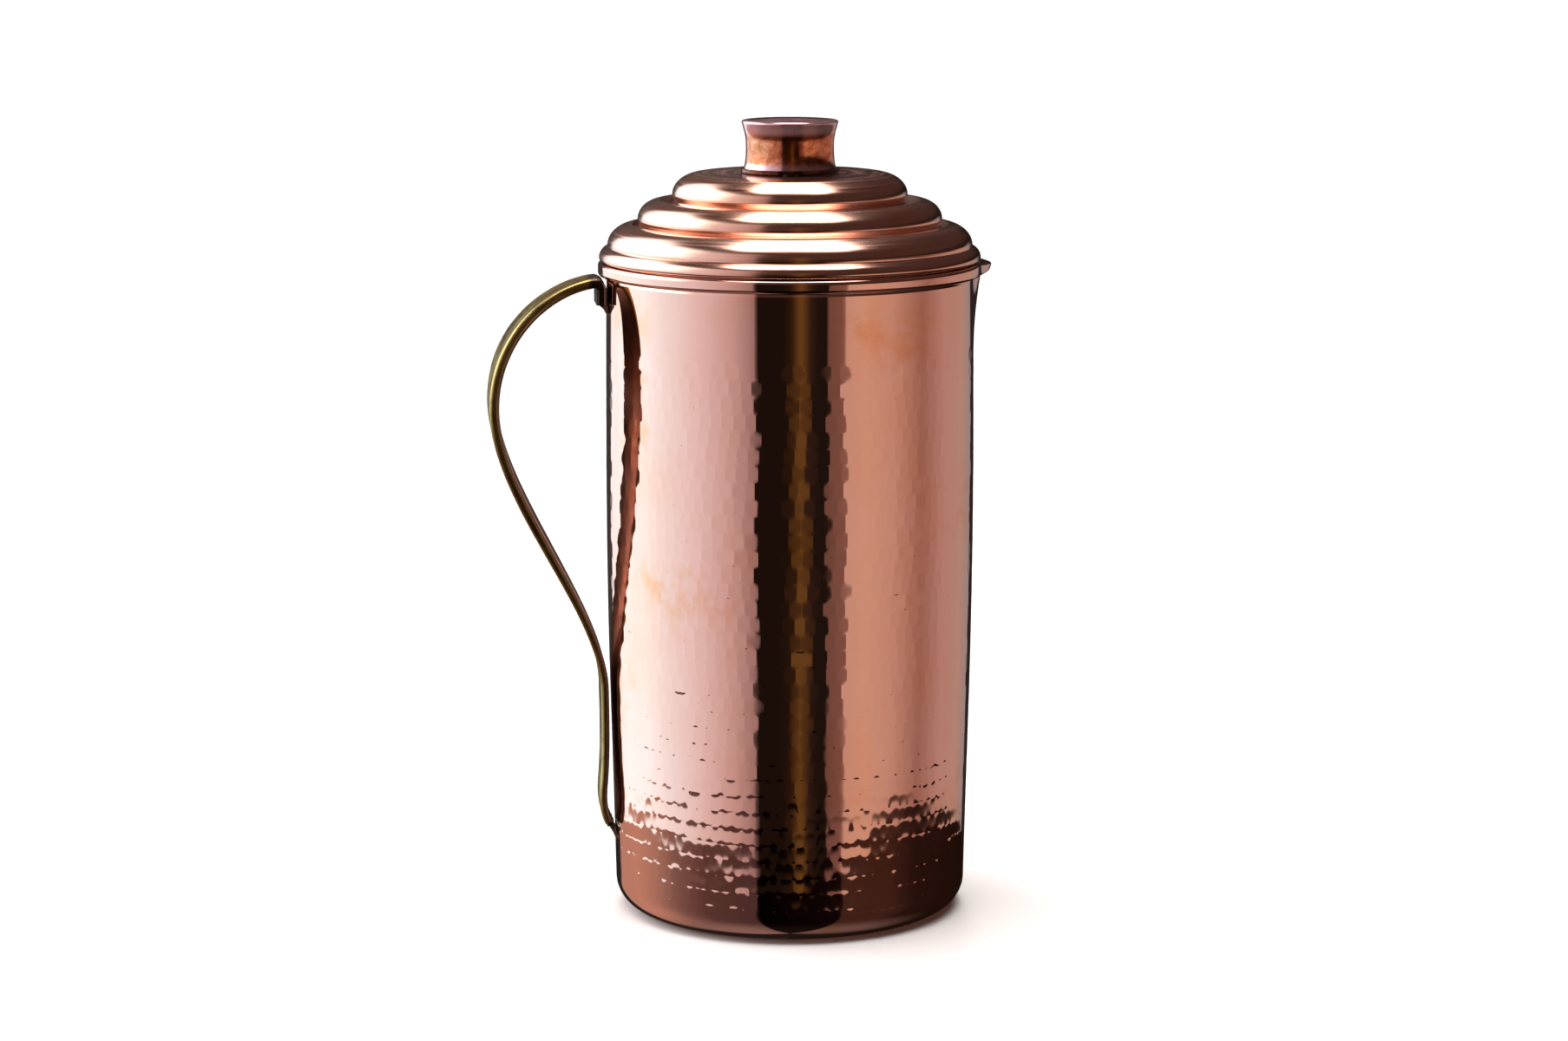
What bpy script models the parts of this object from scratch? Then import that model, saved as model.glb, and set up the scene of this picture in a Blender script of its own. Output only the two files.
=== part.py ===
"""Hammered copper water jug with a strap handle and a lift-off lid, one object per real piece.

Metres, +Z up. The jug's axis is Z, its base rests on Z = 0, the handle is on -X and the pouring
lip on +X. Outlines are (radius, height) points in millimetres, from the axis and from the origin
of their own body: the pitcher's base, or the lid's seat at the top of the jug's rim.
"""

import math

import bmesh
import bpy
from mathutils import Vector
from mathutils.geometry import interpolate_bezier

MM = 0.001
GAP = 0.3  # clearance between pieces that touch
FINE_STEPS = 54  # facets around the wall, whose lip needs them
ROUND_STEPS = 36
SMALL_STEPS = 24
SHARP_ANGLE = math.radians(40)

# Vessel
WALL_SHEET = 0.9
WALL_FACE = ((9.7, 51.5), (30, 52.0), (80, 53.2), (115, 53.5), (165, 53.4), (184.5, 53.2))
RIM_HEIGHT = 188.6  # centre of the rolled bead
RIM_RADIUS = 53.65
RIM_ROLL = 1.05  # inside radius of the roll, around the wire
RIM_WIRE = 0.75
MOUTH_HEIGHT = RIM_HEIGHT + RIM_ROLL + WALL_SHEET

# Pouring lip pulled out of the rim
LIP_REACH = 3.3
LIP_DROP = 26  # how far below the rim the throat fades out
LIP_HALF_ANGLE = math.radians(16)

# Base
BASE_CORNER = 8.4
BASE_JOG = 9.4  # height where the dish steps in behind the wall
BASE_TOP = 18
BASE_FILLET = ((-1.1, 0.0), (0.0, 0.0), (0.0, 1.4))  # offsets outwards and up, as for each fillet

# Handle: centre line in the XZ plane, as distances from the axis and heights
FOOT_BOTTOM = (55.0, 178.8)
FOOT_BEND = 2.6
HANDLE_CURVES = (
    ((57.4, 184.2), (71.4, 182.5), (86.2, 169.5), (86.2, 149.5)),
    ((86.2, 149.5), (86.2, 123.5), (55.0, 89.0), (54.9, 66.0)),
    ((54.9, 66.0), (54.7, 56.0), (54.6, 45.0), (55.4, 37.0)),
    ((55.4, 37.0), (55.8, 32.5), (55.3, 28.0), (53.5, 25.4)),
)
HANDLE_WIDTHS = ((0.0, 14.5), (0.05, 15.0), (0.26, 25.0), (0.68, 16.0), (1.0, 13.5))
HANDLE_THICKNESS = ((0.0, 2.9), (0.45, 2.9), (0.7, 2.3), (1.0, 2.3))
EDGE_EASE = 0.6  # chamfer along the strap's long edges
FOOT_FILLET = ((0.0, -2.6), (0.8, -1.2), (2.1, 0.0), (0.0, 0.0))
FOOT_FILLET_WIDTH = 13.0
END_FILLET = ((0.0, -4.4), (0.7, -2.6), (1.5, -1.3), (0.0, -0.5))
END_FILLET_WIDTH = 11.0
FILLET_STEPS = 4

# Lid, heights from its seat on the rim
LID_SHEET = 0.8
LID_ROLL = 1.0
LID_WIRE = 0.7
LID_BEAD_RADIUS = 53.2
LID_BEAD_HEIGHT = GAP + LID_ROLL + LID_SHEET
LID_TIERS = (  # crown radius and height, nose radius and height
    (26.0, 25.45, 34.0, 19.2),
    (37.8, 17.7, 44.0, 12.2),
    (45.6, 10.8, 52.8, 4.6),
)
LID_VALLEYS = ((33.0, 16.9), (43.4, 10.1))
LID_TOP = LID_TIERS[0][1]
COLLAR_RADIUS = 50.9
COLLAR_BOTTOM = -12.0
COLLAR_TOP = 7.1
COLLAR_TAPER = (0.9, 2.5)  # inwards, over this height at its lower end
COLLAR_FILLET = ((0.0, -1.6), (0.0, 0.6), (-1.5, 1.2))

# Knob, heights from the lid's top
KNOB_FOOT = (14.2, 0.9)  # radius, thickness
KNOB_SHEET = 0.8
KNOB_SIDE = ((13.2, 0.0), (12.8, 2.2), (12.75, 7.5), (13.25, 10.0), (13.9, 12.4))
KNOB_LIP = 1.2
KNOB_OPENING = 12.0
STUD = 2.0
STUD_HOLE = STUD + GAP + 0.05
STUD_HEAD = (4.2, 2.4)  # radius, thickness
STUD_END = -7.6
WASHER = (5.2, 0.9)
NUT_ACROSS = 7.0
NUT_HEIGHT = 3.2


def clear_scene():
    for thing in list(bpy.data.objects):
        bpy.data.objects.remove(thing, do_unlink=True)


def metal(name, colour, roughness):
    material = bpy.data.materials.new(name)
    material.use_nodes = True
    shader = material.node_tree.nodes["Principled BSDF"]
    shader.inputs["Base Color"].default_value = (*colour, 1.0)
    shader.inputs["Metallic"].default_value = 1.0
    shader.inputs["Roughness"].default_value = roughness
    return material


def body_frame(name, height):
    """An empty that carries the pieces of one body and lies on its axis."""
    frame = bpy.data.objects.new(name, None)
    frame.location = (0, 0, height * MM)
    bpy.context.scene.collection.objects.link(frame)
    return frame


def skin(name, rings, closed, frame, material, height=0.0):
    """One closed body through rings of equally many points, capped at both ends unless closed."""
    build = bmesh.new()
    made = [[build.verts.new(Vector(point) * MM) for point in ring] for ring in rings]
    pairs = list(zip(made, made[1:]))
    if closed:
        pairs.append((made[-1], made[0]))
    else:
        build.faces.new(made[0])
        build.faces.new(made[-1])
    for ring, following in pairs:
        for i in range(len(ring)):
            build.faces.new((ring[i - 1], ring[i], following[i], following[i - 1]))
    bmesh.ops.remove_doubles(build, verts=build.verts, dist=1e-6)
    bmesh.ops.recalc_face_normals(build, faces=build.faces)
    mesh = bpy.data.meshes.new(name)
    build.to_mesh(mesh)
    build.free()
    mesh.shade_smooth()
    mesh.set_sharp_from_angle(angle=SHARP_ANGLE)
    mesh.materials.append(material)
    piece = bpy.data.objects.new(name, mesh)
    piece.parent = frame
    piece.location = (0, 0, height * MM)
    bpy.context.scene.collection.objects.link(piece)
    return piece


def turned(name, outline, frame, material, height=0.0, steps=ROUND_STEPS, push=None):
    """A closed (radius, height) outline turned about the axis, pushed outwards where a lip is."""
    rings = []
    for step in range(steps):
        angle = 2 * math.pi * step / steps
        ring = []
        for radius, z in outline:
            reach = radius + (push(angle, z) if push else 0.0)
            ring.append((reach * math.cos(angle), reach * math.sin(angle), z))
        rings.append(ring)
    return skin(name, rings, True, frame, material, height)


def arc(centre, radius, start, stop, pieces):
    """Points along an arc, angles in degrees."""
    return [
        (
            centre[0] + radius * math.cos(math.radians(start + (stop - start) * i / pieces)),
            centre[1] + radius * math.sin(math.radians(start + (stop - start) * i / pieces)),
        )
        for i in range(pieces + 1)
    ]


def along(stops, at, eased=False):
    """The value at a place, from (place, value) stops with straight or eased runs between them."""
    for (low, first), (high, second) in zip(stops, stops[1:]):
        if at <= high:
            share = max(0.0, at - low) / (high - low)
            if eased:
                share = share * share * (3 - 2 * share)
            return first + (second - first) * share
    return stops[-1][1]


def shifted(path, distance):
    """The path moved sideways by a distance, to the left of its direction, with mitred corners."""
    points = [Vector(point) for point in path]
    runs = [(b - a).normalized() for a, b in zip(points, points[1:])]
    normals = [Vector((-run.y, run.x)) for run in runs]
    moved = []
    for i, point in enumerate(points):
        before = normals[max(i - 1, 0)]
        after = normals[min(i, len(normals) - 1)]
        mitre = (before + after).normalized()
        moved.append(tuple(point + mitre * distance / mitre.dot(after)))
    return moved


def sheet(path, thickness):
    """The closed outline of sheet metal whose one face follows the path."""
    return list(path) + shifted(path, thickness)[::-1]


def lip_push(angle, z):
    """How far the pouring lip pulls the wall outwards, at an angle from +X and at a height."""
    turn = abs(math.remainder(angle, 2 * math.pi)) / LIP_HALF_ANGLE
    drop = (RIM_HEIGHT + RIM_ROLL - z) / LIP_DROP
    if turn >= 1 or drop >= 1:
        return 0.0
    return LIP_REACH * 0.5 * (1 + math.cos(math.pi * turn)) * (1 - max(drop, 0.0)) ** 1.6


def wall_radius(z):
    return along(WALL_FACE, z)


def vessel_wall(frame, copper):
    face = [(radius, z) for z, radius in WALL_FACE]
    roll = arc((RIM_RADIUS, RIM_HEIGHT), RIM_ROLL, 180, -100, 8)
    turned("vessel_wall", sheet(face + roll, WALL_SHEET), frame, copper, 0, FINE_STEPS, lip_push)


def rim_wire(frame, copper):
    section = arc((RIM_RADIUS, RIM_HEIGHT), RIM_WIRE, 0, 300, 5)
    turned("rim_wire", section, frame, copper, 0, FINE_STEPS, lip_push)


def base_dish(frame, copper):
    outer = wall_radius(BASE_JOG)
    inner = outer - WALL_SHEET - 1.5 * GAP
    corner = arc((outer - BASE_CORNER, BASE_CORNER), BASE_CORNER, -90, 0, 5)
    flange = [(outer, BASE_JOG - GAP), (inner, BASE_JOG - GAP / 3), (inner, BASE_TOP)]
    turned("base_dish", sheet([(0, 0), *corner, *flange], WALL_SHEET), frame, copper)


def placed(offsets, radius, height):
    return [(radius + out, height + up) for out, up in offsets]


def base_braze(frame, braze):
    face = wall_radius(BASE_TOP) - WALL_SHEET - 1.5 * GAP
    turned("base_braze", placed(BASE_FILLET, face, BASE_TOP + GAP), frame, braze)


def handle_line():
    """Points of the strap's centre line, from the foot under the rim to the lower end."""
    x, z = FOOT_BOTTOM
    bend = (x + FOOT_BEND, HANDLE_CURVES[0][0][1] - FOOT_BEND)
    line = [Vector(FOOT_BOTTOM)] + [Vector(point) for point in arc(bend, FOOT_BEND, 180, 100, 4)]
    for start, leave, arrive, end in HANDLE_CURVES:
        count = max(4, round(math.dist(start, end) / 4.5))
        flat = [(*point, 0) for point in (start, leave, arrive, end)]
        points = interpolate_bezier(*(Vector(p) for p in flat), count + 1)
        line += [point.xy for point in points[1:]]
    return line


def strap_section(width, thickness):
    """Points of the strap's section: (across, outwards), with eased long edges."""
    w, t, e = width / 2, thickness / 2, EDGE_EASE
    half = [(w - e, t), (w, t - e), (w, e - t), (w - e, -t)]
    return half + [(-a, b) for a, b in reversed(half)]


def handle_strap(frame, brass):
    line = handle_line()
    lengths = [0.0]
    for a, b in zip(line, line[1:]):
        lengths.append(lengths[-1] + (b - a).length)
    rings = []
    for i, point in enumerate(line):
        run = (line[min(i + 1, len(line) - 1)] - line[max(i - 1, 0)]).normalized()
        outwards = Vector((-run.y, run.x)) if i else Vector((-1, 0))
        done = lengths[i] / lengths[-1]
        width = along(HANDLE_WIDTHS, done, eased=True)
        section = strap_section(width, along(HANDLE_THICKNESS, done, eased=True))
        ring = []
        for across, out in section:
            place = point + outwards * out
            ring.append((-place.x, across, place.y))
        rings.append(ring)
    skin("handle_strap", rings, False, frame, brass)


def handle_fillet(name, offsets, height, width, frame, braze):
    """A bead of braze that follows the wall on the handle's side, over a width across it."""
    outline = placed(offsets, wall_radius(height) + GAP, height)
    reach = math.asin(width / 2 / outline[0][0])
    rings = []
    for step in range(FILLET_STEPS + 1):
        angle = math.pi + reach * (2 * step / FILLET_STEPS - 1)
        ring = [(r * math.cos(angle), r * math.sin(angle), z) for r, z in outline]
        rings.append(ring)
    skin(name, rings, False, frame, braze)


def handle_brazes(frame, braze):
    under_foot = FOOT_BOTTOM[1] - GAP
    handle_fillet("handle_upper_braze", FOOT_FILLET, under_foot, FOOT_FILLET_WIDTH, frame, braze)
    end = HANDLE_CURVES[-1][-1][1]
    handle_fillet("handle_lower_braze", END_FILLET, end, END_FILLET_WIDTH, frame, braze)


def lid_path():
    """The lid's upper face from the stud hole outwards, over the tiers and round the edge wire."""
    path = [(STUD_HOLE, LID_TOP), (KNOB_FOOT[0], LID_TOP)]
    for i, (crown, top, nose, side) in enumerate(LID_TIERS):
        for step in range(5):
            turn = math.radians(90 - 22.5 * step)
            spread = math.cos(turn) * (nose - crown)
            path.append((crown + spread, side + math.sin(turn) * (top - side)))
        if i < len(LID_VALLEYS):
            path.append(LID_VALLEYS[i])
    return path + arc((LID_BEAD_RADIUS, LID_BEAD_HEIGHT), LID_ROLL + LID_SHEET, 106, -170, 7)


def lid_dome(frame, copper):
    turned("lid_dome", sheet(lid_path(), -LID_SHEET), frame, copper)


def lid_edge_wire(frame, copper):
    section = arc((LID_BEAD_RADIUS, LID_BEAD_HEIGHT), LID_WIRE, 0, 300, 5)
    turned("lid_edge_wire", section, frame, copper)


def lid_collar(frame, copper):
    """The ring under the lid that locates in the jug's mouth, drawn in a little at its lower end."""
    inwards, height = COLLAR_TAPER
    path = [(COLLAR_RADIUS - inwards, COLLAR_BOTTOM), (COLLAR_RADIUS, COLLAR_BOTTOM + height)]
    path.append((COLLAR_RADIUS, COLLAR_TOP))
    turned("lid_collar", sheet(path, LID_SHEET), frame, copper)


def collar_braze(frame, braze):
    face = COLLAR_RADIUS - LID_SHEET - GAP
    turned("collar_braze", placed(COLLAR_FILLET, face, COLLAR_TOP), frame, braze)


def ring_outline(inner, outer, low, high):
    return [(inner, low), (outer, low), (outer, high), (inner, high)]


def knob_foot(frame, copper):
    radius, thickness = KNOB_FOOT
    outline = ring_outline(STUD_HOLE, radius, GAP, GAP + thickness)
    turned("knob_foot", outline, frame, copper, LID_TOP)


def knob_base():
    return LID_TOP + KNOB_FOOT[1] + 2 * GAP


def knob_shell(frame, copper):
    """The spool, with its lip rounded inwards to the opening that the cap closes."""
    radius, top = KNOB_SIDE[-1]
    lip = arc((radius - KNOB_LIP, top), KNOB_LIP, 22.5, 90, 3)
    path = [*KNOB_SIDE, *lip, (KNOB_OPENING, top + KNOB_LIP)]
    turned("knob_shell", sheet(path, KNOB_SHEET), frame, copper, knob_base(), SMALL_STEPS)


def knob_cap(frame, copper):
    top = KNOB_SIDE[-1][1] + KNOB_LIP - GAP
    edge = KNOB_OPENING - GAP
    outline = [(0, top - KNOB_SHEET), (edge, top - KNOB_SHEET), (edge, top), (0, top)]
    turned("knob_cap", outline, frame, copper, knob_base(), SMALL_STEPS)


def knob_stud(frame, steel):
    """A headed stud: its head lies in the knob on the foot, its shank goes down through the lid."""
    radius, thickness = STUD_HEAD
    seat = KNOB_FOOT[1] + 2 * GAP
    outline = [(0, STUD_END), (STUD, STUD_END), (STUD, seat), (radius, seat)]
    outline += [(radius, seat + thickness), (0, seat + thickness)]
    turned("knob_stud", outline, frame, steel, LID_TOP, SMALL_STEPS)


def stud_washer(frame, brass):
    radius, thickness = WASHER
    top = -LID_SHEET - GAP
    outline = ring_outline(STUD_HOLE, radius, top - thickness, top)
    turned("stud_washer", outline, frame, brass, LID_TOP, SMALL_STEPS)


def stud_nut(frame, steel):
    """A hexagon with a round bore, as one ring of stations with a corner or a flat at each."""
    top = -LID_SHEET - 2 * GAP - WASHER[1]
    rings = []
    for step in range(SMALL_STEPS):
        angle = 2 * math.pi * step / SMALL_STEPS
        from_flat = (angle + math.pi / 6) % (math.pi / 3) - math.pi / 6
        outer = NUT_ACROSS / 2 / math.cos(from_flat)
        outline = ring_outline(STUD_HOLE, outer, top - NUT_HEIGHT, top)
        rings.append([(r * math.cos(angle), r * math.sin(angle), z) for r, z in outline])
    skin("stud_nut", rings, True, frame, steel, LID_TOP)


def main():
    clear_scene()
    copper = metal("hammered_copper", (0.86, 0.46, 0.36), 0.12)
    spun = metal("spun_copper", (0.84, 0.45, 0.33), 0.2)
    knob = metal("oxidised_copper", (0.75, 0.32, 0.18), 0.3)
    brass = metal("aged_brass", (0.52, 0.36, 0.12), 0.28)
    braze = metal("braze", (0.70, 0.62, 0.45), 0.35)
    steel = metal("plated_steel", (0.62, 0.61, 0.58), 0.35)
    pitcher = body_frame("pitcher_frame", 0.0)
    for make in (vessel_wall, rim_wire, base_dish):
        make(pitcher, copper)
    base_braze(pitcher, braze)
    handle_strap(pitcher, brass)
    handle_brazes(pitcher, braze)
    lid = body_frame("lid_frame", MOUTH_HEIGHT)
    for make in (lid_dome, lid_edge_wire, lid_collar):
        make(lid, spun)
    collar_braze(lid, braze)
    for make in (knob_foot, knob_shell, knob_cap):
        make(lid, knob)
    knob_stud(lid, steel)
    stud_washer(lid, brass)
    stud_nut(lid, steel)


main()
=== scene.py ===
"""Looks of the hammered copper water jug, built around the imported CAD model.

The jug's axis is Z, its base rests on Z = 0, the handle is on -X and the pouring lip on +X.
Outlines are (radius, height) points in millimetres; grids become metres when a piece is made.
"""

import math

import bpy
import numpy as np
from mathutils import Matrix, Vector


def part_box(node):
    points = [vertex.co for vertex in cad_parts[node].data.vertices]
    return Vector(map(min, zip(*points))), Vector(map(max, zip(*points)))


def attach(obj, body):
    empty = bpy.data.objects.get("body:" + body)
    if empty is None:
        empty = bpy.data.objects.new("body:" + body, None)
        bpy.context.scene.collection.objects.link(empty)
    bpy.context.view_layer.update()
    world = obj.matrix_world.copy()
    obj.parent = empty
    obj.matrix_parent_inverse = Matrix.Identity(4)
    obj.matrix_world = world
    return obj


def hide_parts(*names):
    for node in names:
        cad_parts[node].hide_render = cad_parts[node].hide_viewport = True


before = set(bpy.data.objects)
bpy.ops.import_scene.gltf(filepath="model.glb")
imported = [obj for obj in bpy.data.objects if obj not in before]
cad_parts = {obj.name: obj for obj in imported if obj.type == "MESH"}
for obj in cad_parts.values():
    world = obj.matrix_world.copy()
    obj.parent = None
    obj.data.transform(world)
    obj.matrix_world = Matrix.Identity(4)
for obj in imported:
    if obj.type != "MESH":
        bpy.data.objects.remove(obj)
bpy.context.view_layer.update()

MM = 0.001
TURN = 2 * math.pi


def box_mm(node):
    """Lowest and highest corner of a CAD node, in millimetres."""
    low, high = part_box(node)
    return np.array(low) / MM, np.array(high) / MM


WALL_LOW, WALL_HIGH = box_mm("vessel_wall")
DISH_HIGH = box_mm("base_dish")[1]
LID_LOW = box_mm("lid_dome")[0]
COLLAR_LOW, COLLAR_HIGH = box_mm("lid_collar")
KNOB_LOW, KNOB_HIGH = box_mm("knob_shell")
CAP_LOW, CAP_HIGH = box_mm("knob_cap")

# Vessel
SHEET = 0.9
SEAM = WALL_LOW[2]  # where the wall meets the base dish
SEAM_LINE = 0.004  # gap left there
MOUTH = WALL_HIGH[2]  # top of the rim
RIM_OUT = WALL_HIGH[1]
ROLL = 1.95  # outside radius of the rolled rim
WALL_FACE = ((9.7, 51.5), (30, 52.0), (80, 53.2), (115, 53.55), (165, 53.3), (184.5, 53.05))
WALL_WIDEST = WALL_FACE[3][1]
SMOOTH_BAND = (173.6, 186.5, 1.1)  # heights of the band under the rim, from, to and step
BASE_CORNER = 8.4  # radius of the base's outer corner
DISH_CORNER = 6.0  # radius of its inner corner
COLUMNS = 1050  # points round the vessel, ten to a hammer mark

# Hammer marks: slight hollows side by side in rows, with a crease between neighbours
MARK_COLUMNS = 105
MARK_ROWS = 34
MARK_PITCH = 4.75
MARKS_LOW = 8.0  # height of the lowest row
MARKS_HIGH = 173  # where the smooth band starts
MARK_DEPTH = 0.052
DEPTH_SPREAD = 0.002
MARK_DRIFT = 0.09  # spread of a mark's place in its row, in shares of its width
TILTS = (0.008, 0.0007)  # spread of a mark's tilts, across and along the axis
RARE_SHARE, RARE_TILT = 0.05, 0.02  # a few marks lie more askew
MISSING_SHARE = 0.4  # of the marks in the last row
HOLLOW_ALONG = 1100  # radius of the hollow along the axis
ROW_STEPS = (-0.5, -0.45, -0.39, -0.3, -0.15, 0.0, 0.15, 0.3, 0.39, 0.45)  # in shares of the pitch
ROW_TILT = 0.0012  # how far a row leans, changing round the wall
ROW_LEANS = (2, 5, 11)  # turns of that change round the wall
FACET = (0.36, 0.95)  # how much of the wall's roundness a mark flattens, low down and above
FACET_HEIGHTS = (48, 88)
CREASE = math.radians(1.1)  # from this angle a crease between marks stays crisp
MARKS_FADE, LEVEL_FADE = 4, 20  # heights over which marks and their mean level fade out at the base

# Pouring lip
LIP_REACH = 3.3
LIP_DROP = 26
LIP_HALF_ANGLE = math.radians(16)
LIP_FLATTER = 0.38  # how much of its height the rim's roll loses at the lip

# Lid
LID_SHEET = 0.8
LID_TIERS = (  # crown radius, nose radius; crown and nose heights above the seat
    (26.0, 34.0, 25.45, 19.2),
    (37.8, 44.0, 17.7, 12.2),
    (45.6, 52.8, 10.8, 4.6),
)
LID_VALLEYS = ((33.0, 16.9), (43.4, 10.1))
VALLEY_ROUND = 0.5
LID_EDGE = (51.9, 55.2, 1.2, 4.5)  # hem: crown and nose radius, nose and crown height
HEM_FLAT = 2.3  # from the hem's nose to the centre of its inner corner
LID_BORE = 2.4  # hole for the knob's stud
COLLAR_TAPER = (0.9, 2.5)  # inwards, over this height at its lower end
SPIN_STEP = 0.3  # spacing of the lines that the spinning tool leaves
SPIN_DEPTHS = {"lid": 0.006, "knob": 0.003}

# Knob
KNOB_SHEET = 0.8
KNOB_LIP_AT = 13.15  # height on the knob where its lip turns inwards
KNOB_LIP_IN = 12.0  # radius of the lip's inner edge
KNOB_SIDE = ((0.0, 13.35), (1.2, 13.05), (3.2, 12.8), (6.0, 12.72), (8.6, 12.85), (10.4, 13.2),
             (11.8, 13.6), (KNOB_LIP_AT, 13.95))  # (height, radius)
KNOB_SHEEN_BAND = 3.4  # height of the band under the top that gets painted sheen, a lighter pink-lilac
KNOB_FOOT_SHEEN = (0.4, 2.2)  # heights of the band at the foot that gets the same painted sheen
CAP_DISH = 0.12  # how far the cap sinks towards its middle
CAP_SNUG = 0.15  # how far it fills the gap to the lip

# Handle, as (distance from the axis, height)
FOOT_BOTTOM = (55.0, 178.8)
FOOT_BEND = 2.0
HANDLE_CURVES = (
    ((57.0, 185.2), (71.4, 183.0), (86.2, 169.5), (86.2, 149.5)),
    ((86.2, 149.5), (86.2, 123.5), (55.0, 89.0), (54.9, 66.0)),
    ((54.9, 66.0), (54.7, 56.0), (54.6, 45.0), (55.4, 37.0)),
    ((55.4, 37.0), (55.8, 32.5), (55.3, 28.0), (53.5, 25.4)),
)
HANDLE_STEP = 1.2
HANDLE_WIDTHS = ((0.0, 14.5), (0.05, 15.0), (0.26, 25.0), (0.68, 16.0), (1.0, 13.5))
HANDLE_THICKNESS = ((0.0, 2.9), (0.45, 2.9), (0.7, 2.3), (1.0, 2.3))
STRAP_EDGE = 1.05  # rounding of the strap's long edges
END_SHRINKS = (0.8, 0.45, 0.08)  # rings at each end; at the lower end they lie before the last ring
FOOT_SHADE_UP, FOOT_SHADE_IN = (0.172, 0.176), (-0.0595, -0.0575)  # Z and X in metres, of the painted shade on its upper foot, under the rim
FACES_JUG = 0.35  # how much a strap face turns to the jug before it counts as shaded

# Studio, seen from the photograph's side of the jug
CAMERA_TURN = math.radians(-6)
CAMERA_DISTANCE = 1111.9
CAMERA_HEIGHT = 305.6
CAMERA_ASIDE = -1.7
CAMERA_PITCH = math.radians(9.77)
CAMERA_LENS = 88.5
FLOOR_SIZE, DOME_RADIUS = 200.0, 60.0  # metres, as the lamp's place is
FLOOR_DROP = 0.0002  # gap under the jug's base
FLOOR_COLOUR = (0.83, 0.795, 0.77, 1)
DOME_COLOUR = (0.60, 0.59, 0.58, 1)
LAMP_SIZE, LAMP_POWER = 1.6, 11
LAMP_PLACE, LAMP_TURN = (-0.25, -0.15, 1.5), (-0.1, -0.16, 0)


# ---------------------------------------------------------------- meshes


def piece_from(name, points, faces, material, body, replaced, sharp=35):
    """A smooth-shaded piece that rides on a body, from points in millimetres."""
    mesh = bpy.data.meshes.new(name)
    mesh.vertices.add(len(points))
    mesh.vertices.foreach_set("co", (np.asarray(points, float) * MM).ravel())
    faces = np.asarray(faces)
    sides = faces.shape[1]
    mesh.loops.add(faces.size)
    mesh.loops.foreach_set("vertex_index", faces.ravel())
    mesh.polygons.add(len(faces))
    mesh.polygons.foreach_set("loop_start", np.arange(0, faces.size, sides))
    mesh.update(calc_edges=True)
    mesh.validate()
    mesh.shade_smooth()
    mesh.set_sharp_from_angle(angle=math.radians(sharp))
    mesh.materials.append(material)
    piece = bpy.data.objects.new(name, mesh)
    bpy.context.scene.collection.objects.link(piece)
    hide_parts(*replaced)
    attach(piece, body)
    return piece


def grid_faces(rows, columns, rows_close):
    """Quads of a grid whose columns close into a ring, and whose rows may too."""
    row, column = np.meshgrid(np.arange(rows if rows_close else rows - 1), np.arange(columns),
                              indexing="ij")
    after, beside = (row + 1) % rows, (column + 1) % columns
    corners = (row * columns + column, row * columns + beside,
               after * columns + beside, after * columns + column)
    return np.stack([corner.ravel() for corner in corners], axis=1)


def swept(outline, columns):
    """Radii, angles and heights of an outline turned about the axis, each (rows, columns)."""
    outline = np.asarray(outline, float)
    radius, z = (np.repeat(outline[:, i:i + 1], columns, axis=1) for i in (0, 1))
    angle = np.broadcast_to(np.arange(columns) * TURN / columns, radius.shape)
    return radius, angle, z


def polar(radius, angle, z):
    """Points from radii, angles and heights."""
    return np.stack([radius * np.cos(angle), radius * np.sin(angle), z], axis=-1)


def turned(name, outline, columns, material, body, replaced):
    """A closed outline, counter-clockwise in (radius, height), turned about the axis."""
    points = polar(*swept(outline, columns)).reshape(-1, 3)
    faces = grid_faces(len(outline), columns, True)
    return piece_from(name, points, faces, material, body, replaced)


def capped(name, grid, ends, material, body, replaced, sharp=35):
    """A piece from rings of points, closed by one point beyond the first and the last ring."""
    rows, columns = grid.shape[:2]
    points = np.vstack([grid.reshape(-1, 3), ends])
    quads = grid_faces(rows, columns, False)
    ring = np.arange(columns)
    beside = (ring + 1) % columns
    last_ring = (rows - 1) * columns
    low = np.stack([np.full(columns, rows * columns), beside, ring], axis=1)
    high = np.stack([np.full(columns, rows * columns + 1), last_ring + ring, last_ring + beside], axis=1)
    faces = np.vstack([quads[:, [0, 1, 2]], quads[:, [0, 2, 3]], low, high])
    return piece_from(name, points, faces, material, body, replaced, sharp)


def on_axis(outline):
    """The two ends of an outline that starts and ends on the axis, as points."""
    return [(0, 0, outline[0][1]), (0, 0, outline[-1][1])]


def arc(centre, radius, start, stop, count):
    """Points along an arc, angles in degrees."""
    angles = np.radians(np.linspace(start, stop, count + 1))
    return [(centre[0] + radius * math.cos(a), centre[1] + radius * math.sin(a)) for a in angles]


def spaced(path, step):
    """The path with points no further apart than step."""
    result = [path[0]]
    for a, b in zip(path, path[1:]):
        count = max(1, math.ceil(math.dist(a, b) / step))
        result += [(a[0] + (b[0] - a[0]) * i / count, a[1] + (b[1] - a[1]) * i / count)
                   for i in range(1, count + 1)]
    return result


def shifted(path, distance):
    """The path moved to the left of its direction, with mitred corners."""
    path = np.asarray(path, float)
    runs = np.diff(path, axis=0)
    runs /= np.linalg.norm(runs, axis=1)[:, None]
    normals = np.stack([-runs[:, 1], runs[:, 0]], axis=1)
    before = np.vstack([normals[:1], normals])
    after = np.vstack([normals, normals[-1:]])
    mitre = before + after
    mitre /= np.linalg.norm(mitre, axis=1)[:, None]
    return path + mitre * (distance / (mitre * after).sum(axis=1))[:, None]


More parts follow.
